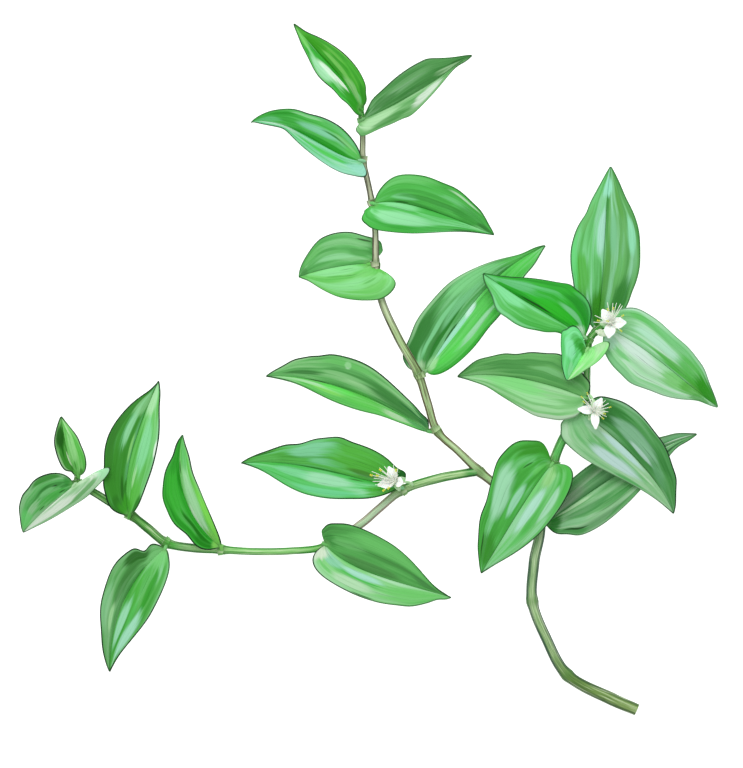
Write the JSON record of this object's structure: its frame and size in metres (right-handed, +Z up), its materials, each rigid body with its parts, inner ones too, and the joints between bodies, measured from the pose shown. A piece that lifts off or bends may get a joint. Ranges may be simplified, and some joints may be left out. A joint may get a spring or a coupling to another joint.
{
  "type": "cut sprig of small-leaf spiderwort",
  "caption": "Trailing spiderwort cutting lying flat: a jointed green stem with side shoots, pointed clasping leaves and small white three-petalled flowers.",
  "frame": {"origin": "on the resting surface, under the middle of the sprig's bounding box", "axes": "+Z up from the surface the sprig lies on, +Y from the cut end of the stem towards the tip of the top shoot, +X from the left shoot to the right shoot"},
  "size_m": [0.2304, 0.2282, 0.0222],
  "materials": {
    "stem": "smooth living stem, satin, green with fine lengthwise lines and a brown-purple tint at the joints",
    "leaf": "waxy satin leaf, green with paler lengthwise streaks between the parallel veins",
    "petal": "thin matte white petal",
    "stamen": "white bearded filaments with dusty yellow anthers",
    "calyx": "pale green satin stalk, sepals and bud"
  },
  "bodies": {
    "root": {"stem": "stem", "leaf_top_1": "leaf", "leaf_top_2": "leaf", "leaf_top_3": "leaf", "leaf_top_4": "leaf", "leaf_top_5": "leaf", "leaf_top_6": "leaf", "leaf_top_7": "leaf", "leaf_left_1": "leaf", "leaf_left_2": "leaf", "leaf_left_3": "leaf", "leaf_left_4": "leaf", "leaf_left_5": "leaf", "leaf_left_6": "leaf", "leaf_left_7": "leaf", "leaf_right_1": "leaf", "leaf_right_2": "leaf", "leaf_right_3": "leaf", "leaf_right_4": "leaf", "leaf_right_5": "leaf", "leaf_right_6": "leaf", "leaf_right_7": "leaf", "leaf_right_8": "leaf", "flower_left_stalk": "calyx", "flower_left_petals": "petal", "flower_left_stamens": "stamen", "flower_top_right_stalk": "calyx", "flower_top_right_petals": "petal", "flower_top_right_stamens": "stamen", "flower_right_stalk": "calyx", "flower_right_petals": "petal", "flower_right_stamens": "stamen", "bud_right": "calyx"}
  },
  "joints": []
}
